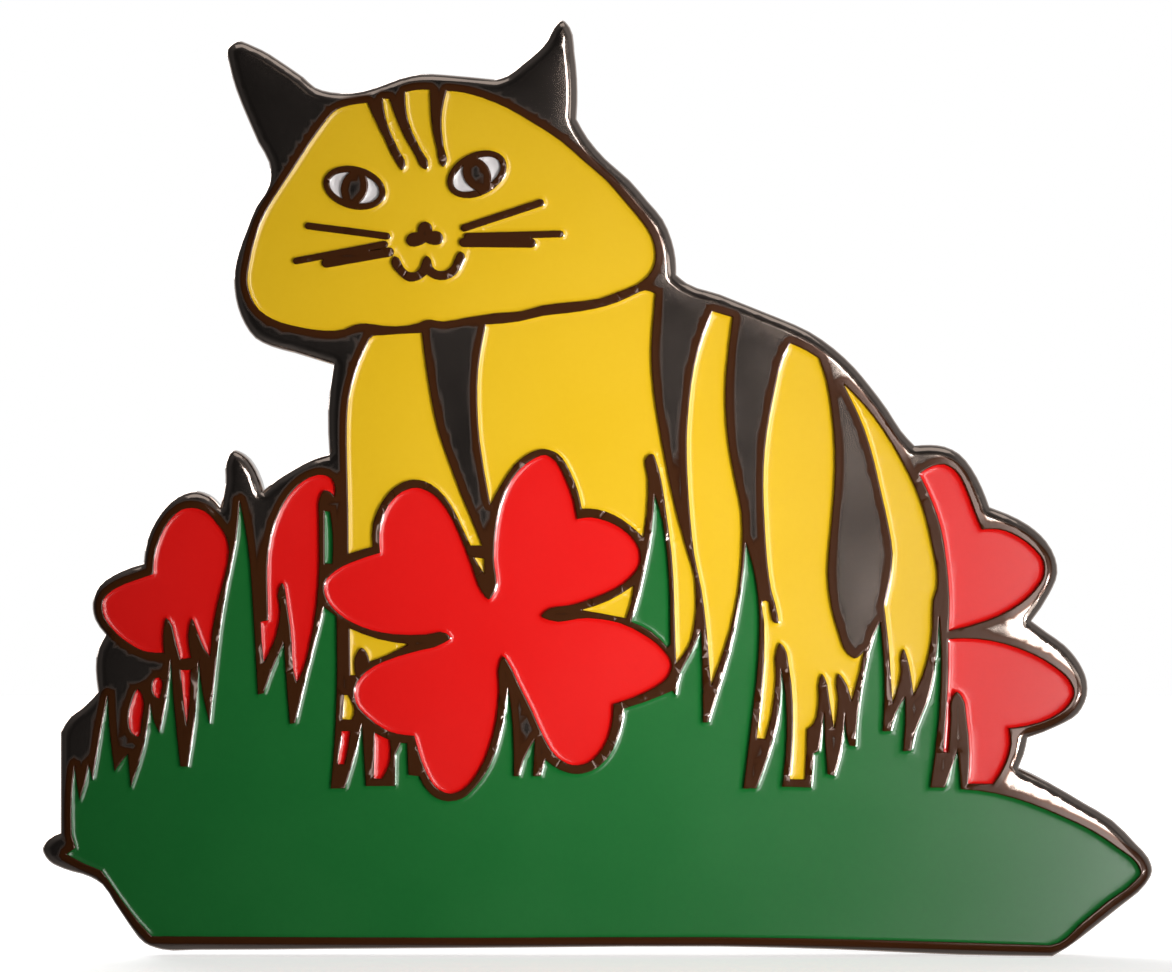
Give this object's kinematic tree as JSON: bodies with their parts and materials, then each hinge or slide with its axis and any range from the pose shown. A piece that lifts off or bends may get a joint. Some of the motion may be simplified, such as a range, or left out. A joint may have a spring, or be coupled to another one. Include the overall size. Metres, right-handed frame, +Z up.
{
  "type": "enamel pin",
  "caption": "Flat soft enamel lapel pin of a striped cat among grass and heart-petalled flowers, with posts and butterfly clutches on the back.",
  "frame": {"origin": "on the back face of the plate, midway between the two posts", "axes": "+Z up as worn, picture toward -Y, posts toward +Y, +X to the viewer's right"},
  "size_m": [0.038, 0.0107, 0.032],
  "materials": {
    "black_plating": "polished black nickel plating",
    "yellow_enamel": "glossy soft enamel",
    "red_enamel": "glossy soft enamel",
    "green_enamel": "glossy soft enamel",
    "white_enamel": "glossy soft enamel",
    "plated_post": "black nickel plated steel",
    "solder": "plated solder",
    "clutch_brass": "pressed and polished brass"
  },
  "bodies": {
    "pin": {"plate": "black_plating", "face_yellow": "yellow_enamel", "left_chest_yellow": "yellow_enamel", "right_chest_yellow": "yellow_enamel", "chest_triangle_yellow": "yellow_enamel", "flank_front_yellow": "yellow_enamel", "flank_rear_yellow": "yellow_enamel", "haunch_yellow": "yellow_enamel", "under_petal_yellow": "yellow_enamel", "petal_chip_yellow": "yellow_enamel", "petal_gap_yellow": "yellow_enamel", "left_eye_outer_white": "white_enamel", "left_eye_inner_white": "white_enamel", "right_eye_inner_white": "white_enamel", "right_eye_outer_white": "white_enamel", "front_flower_red": "red_enamel", "left_petal_red": "red_enamel", "left_petal_long_chip_red": "red_enamel", "left_petal_small_chip_red": "red_enamel", "left_petal_strip_red": "red_enamel", "inner_petal_red": "red_enamel", "grass_chip_narrow_red": "red_enamel", "grass_chip_wide_red": "red_enamel", "right_upper_petal_red": "red_enamel", "right_lower_petal_red": "red_enamel", "grass_green": "green_enamel", "blade_green": "green_enamel", "sliver_green": "green_enamel", "left_post": "plated_post", "right_post": "plated_post", "left_solder": "solder", "right_solder": "solder"},
    "left_clutch": {"left_dish": "clutch_brass", "left_cap": "clutch_brass"},
    "left_outer_wing": {"left_wing_outer": "clutch_brass"},
    "left_inner_wing": {"left_wing_inner": "clutch_brass"},
    "right_clutch": {"right_dish": "clutch_brass", "right_cap": "clutch_brass"},
    "right_outer_wing": {"right_wing_outer": "clutch_brass"},
    "right_inner_wing": {"right_wing_inner": "clutch_brass"}
  },
  "joints": [
    {"name": "left_clutch_slide", "type": "slide", "parent": "pin", "child": "left_clutch", "axis": [0, 1, 0], "range_m": [0, 0.012]},
    {"name": "left_outer_wing_squeeze", "type": "hinge", "parent": "left_clutch", "child": "left_outer_wing", "pos_m": [-0.00905, 0.00685, 0], "axis": [0, 0, -1], "range_deg": [0, 10], "stiffness_Nm_per_rad": 0.02},
    {"name": "left_inner_wing_squeeze", "type": "hinge", "parent": "left_clutch", "child": "left_inner_wing", "pos_m": [-0.00595, 0.00685, 0], "axis": [0, 0, 1], "range_deg": [0, 10], "stiffness_Nm_per_rad": 0.02},
    {"name": "right_clutch_slide", "type": "slide", "parent": "pin", "child": "right_clutch", "axis": [0, 1, 0], "range_m": [0, 0.012]},
    {"name": "right_outer_wing_squeeze", "type": "hinge", "parent": "right_clutch", "child": "right_outer_wing", "pos_m": [0.00905, 0.00685, 0], "axis": [0, 0, 1], "range_deg": [0, 10], "stiffness_Nm_per_rad": 0.02},
    {"name": "right_inner_wing_squeeze", "type": "hinge", "parent": "right_clutch", "child": "right_inner_wing", "pos_m": [0.00595, 0.00685, 0], "axis": [0, 0, -1], "range_deg": [0, 10], "stiffness_Nm_per_rad": 0.02}
  ]
}
